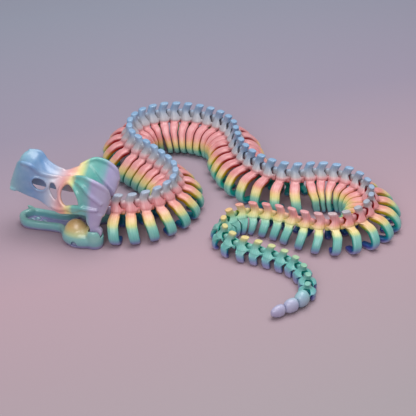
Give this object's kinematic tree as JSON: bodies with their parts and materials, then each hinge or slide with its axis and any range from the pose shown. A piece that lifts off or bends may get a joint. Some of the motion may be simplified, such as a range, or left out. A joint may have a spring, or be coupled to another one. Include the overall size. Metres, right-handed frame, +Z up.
{
  "type": "articulated snake skeleton toy",
  "caption": "Jointed snake skeleton toy in pastel rainbow plastic: open-jawed skull, a chain of ribbed vertebrae lying in an S-shaped curve, and a slim pointed tail.",
  "frame": {"origin": "on the floor, under the middle of the toy's bounding box", "axes": "+Z up; +X along the toy's longest side as it lies, from the snout's side to the right-hand bend; +Y away from the viewer, towards the rear bend"},
  "size_m": [0.2855, 0.269, 0.0582],
  "materials": {
    "skull_plastic": "satin silk-look plastic, its colour running from lilac at the neck through teal and pink to pale blue at the snout",
    "lower_jaw_plastic": "satin silk-look plastic, purple at the floor, then teal, with golden-brown domes",
    "neck_plastic": "satin silk-look plastic whose colour changes with height",
    "trunk_1_plastic": "satin silk-look plastic whose colour changes with height",
    "trunk_2_plastic": "satin silk-look plastic whose colour changes with height",
    "trunk_3_plastic": "satin silk-look plastic whose colour changes with height",
    "trunk_4_plastic": "satin silk-look plastic whose colour changes with height",
    "trunk_5_plastic": "satin silk-look plastic whose colour changes with height",
    "trunk_6_plastic": "satin silk-look plastic whose colour changes with height",
    "trunk_7_plastic": "satin silk-look plastic whose colour changes with height",
    "tail_1_plastic": "satin silk-look plastic whose colour changes with height",
    "tail_2_plastic": "satin silk-look plastic whose colour changes with height",
    "tail_3_plastic": "satin silk-look plastic whose colour changes with height",
    "tail_tip_plastic": "satin silk-look plastic whose colour changes with height"
  },
  "bodies": {
    "skull": {"skull": "skull_plastic"},
    "lower_jaw": {"lower_jaw": "lower_jaw_plastic"},
    "neck": {"neck": "neck_plastic"},
    "trunk_1": {"trunk_1": "trunk_1_plastic"},
    "trunk_2": {"trunk_2": "trunk_2_plastic"},
    "trunk_3": {"trunk_3": "trunk_3_plastic"},
    "trunk_4": {"trunk_4": "trunk_4_plastic"},
    "trunk_5": {"trunk_5": "trunk_5_plastic"},
    "trunk_6": {"trunk_6": "trunk_6_plastic"},
    "trunk_7": {"trunk_7": "trunk_7_plastic"},
    "tail_1": {"tail_1": "tail_1_plastic"},
    "tail_2": {"tail_2": "tail_2_plastic"},
    "tail_3": {"tail_3": "tail_3_plastic"},
    "tail_tip": {"tail_tip": "tail_tip_plastic"}
  },
  "joints": [
    {"name": "trunk_4_bend", "type": "hinge", "parent": "trunk_5", "child": "trunk_4", "pos_m": [0.0257, 0.04664, 0.02411], "axis": [0, 0, 1], "range_deg": [-3, 5]},
    {"name": "trunk_3_bend", "type": "hinge", "parent": "trunk_4", "child": "trunk_3", "pos_m": [0.00423, 0.10015, 0.02506], "axis": [0, 0, -1], "range_deg": [0, 8]},
    {"name": "trunk_2_bend", "type": "hinge", "parent": "trunk_3", "child": "trunk_2", "pos_m": [-0.05227, 0.10203, 0.02561], "axis": [0, 0, -1], "range_deg": [0, 10]},
    {"name": "trunk_1_bend", "type": "hinge", "parent": "trunk_2", "child": "trunk_1", "pos_m": [-0.05086, 0.04962, 0.02425], "axis": [0, 0, 1], "range_deg": [-4, 4]},
    {"name": "neck_bend", "type": "hinge", "parent": "trunk_1", "child": "neck", "pos_m": [-0.02528, -0.00231, 0.02326], "axis": [0, 0, 1], "range_deg": [0, 12]},
    {"name": "skull_turn", "type": "hinge", "parent": "neck", "child": "skull", "pos_m": [-0.07154, -0.03088, 0.022], "axis": [0, 0, 1], "range_deg": [0, 6]},
    {"name": "jaw_hinge", "type": "hinge", "parent": "skull", "child": "lower_jaw", "pos_m": [-0.07707, -0.02995, 0.0125], "axis": [0.165, 0.9863, 0], "range_deg": [0, 12]},
    {"name": "trunk_6_bend", "type": "hinge", "parent": "trunk_5", "child": "trunk_6", "pos_m": [0.11775, -0.00819, 0.02074], "axis": [0, 0, 1], "range_deg": [0, 10]},
    {"name": "trunk_7_bend", "type": "hinge", "parent": "trunk_6", "child": "trunk_7", "pos_m": [0.08321, -0.04703, 0.01793], "axis": [0, 0, 1], "range_deg": [0, 10]},
    {"name": "tail_1_bend", "type": "hinge", "parent": "trunk_7", "child": "tail_1", "pos_m": [0.02817, -0.02419, 0.01496], "axis": [0, 0, -1], "range_deg": [0, 15]},
    {"name": "tail_2_bend", "type": "hinge", "parent": "tail_1", "child": "tail_2", "pos_m": [0.01875, -0.06085, 0.01217], "axis": [0, 0, -1], "range_deg": [0, 8]},
    {"name": "tail_3_bend", "type": "hinge", "parent": "tail_2", "child": "tail_3", "pos_m": [0.05452, -0.07845, 0.01027], "axis": [0, 0, 1], "range_deg": [0, 12]},
    {"name": "tail_tip_bend", "type": "hinge", "parent": "tail_3", "child": "tail_tip", "pos_m": [0.06333, -0.11482, 0.00793], "axis": [0, 0, 1], "range_deg": [0, 15]}
  ]
}
